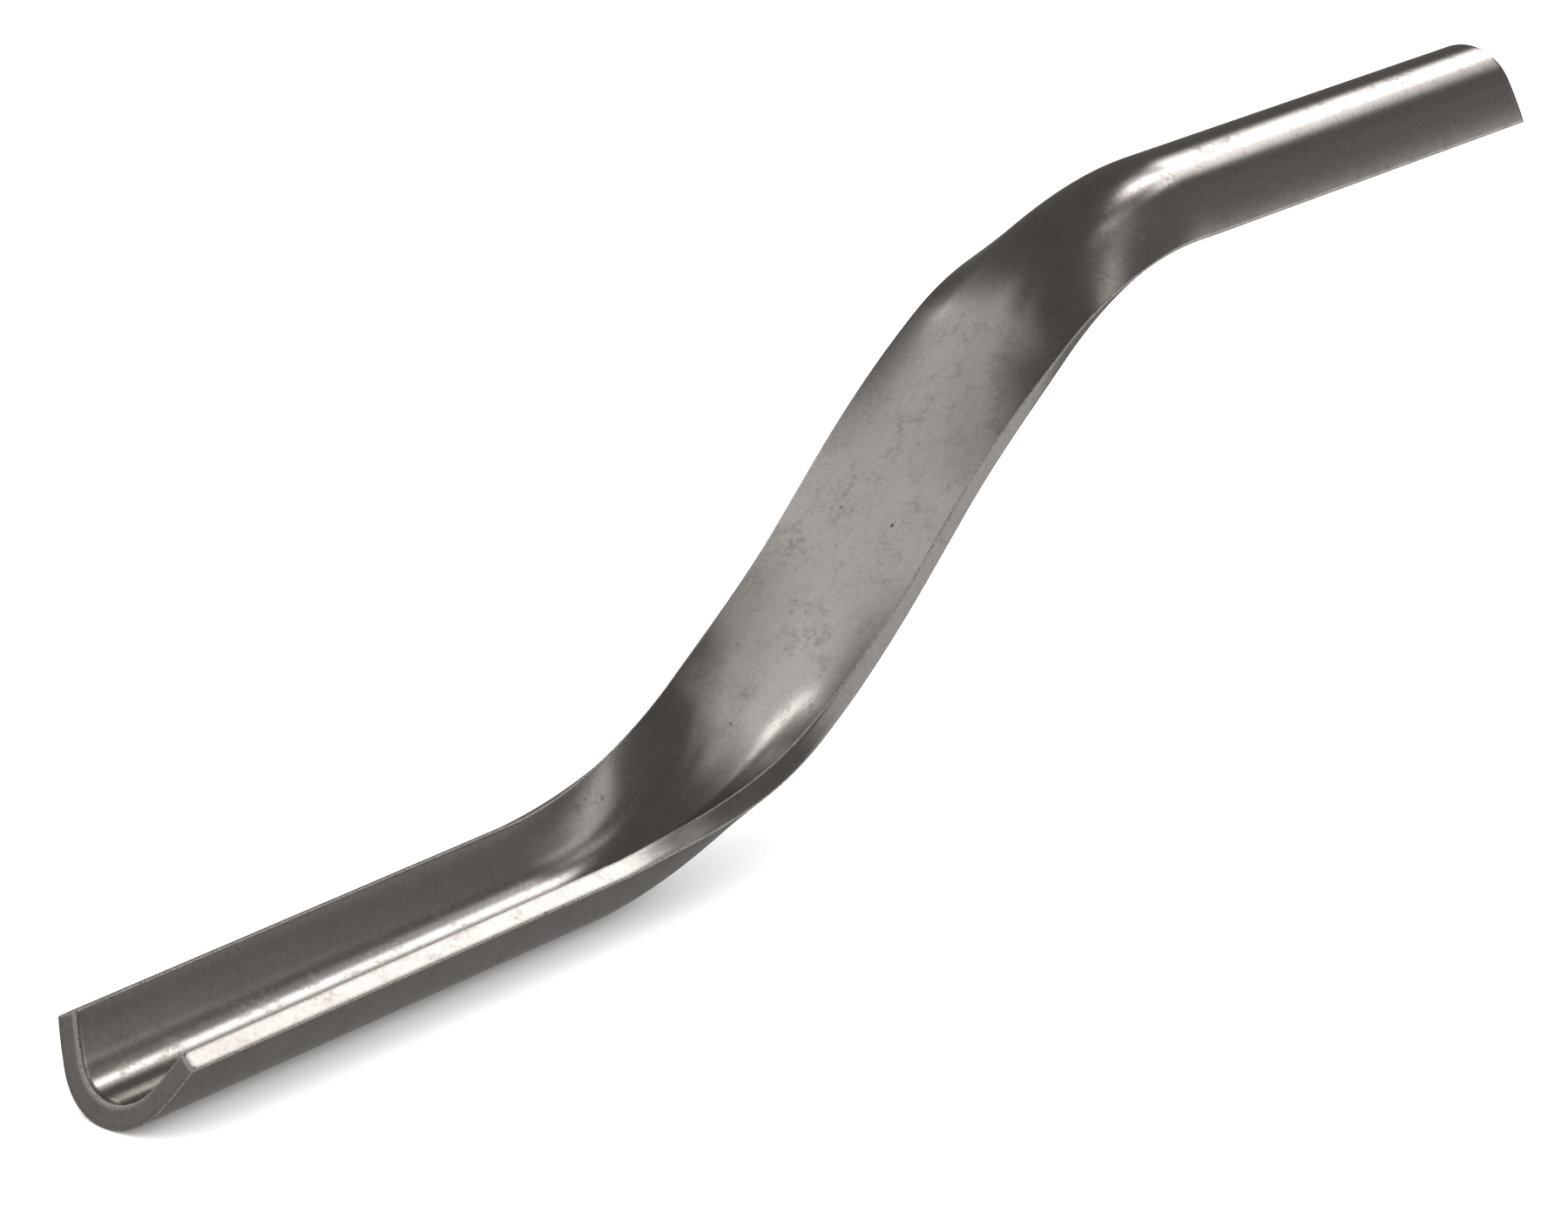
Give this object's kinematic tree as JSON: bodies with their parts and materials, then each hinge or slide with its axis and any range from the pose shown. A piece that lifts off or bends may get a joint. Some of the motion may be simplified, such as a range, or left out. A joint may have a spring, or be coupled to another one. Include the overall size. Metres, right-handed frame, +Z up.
{
  "type": "brick jointer",
  "caption": "Double-ended mortar jointer: one S-shaped steel strip with a round-bottomed trough at each end, one open upwards and one open downwards.",
  "frame": {"origin": "middle of the tool's length, on its plane of symmetry, level with the bottom line of the lower trough", "axes": "+X from the lower trough to the upper one, +Z up, so that both troughs are level; the XZ plane is the plane of symmetry"},
  "size_m": [0.292, 0.0278, 0.0791],
  "materials": {
    "blade_steel": "satin, bare heat-treated steel, mottled, with bright worn corners"
  },
  "bodies": {
    "root": {"jointer_blade": "blade_steel"}
  },
  "joints": []
}
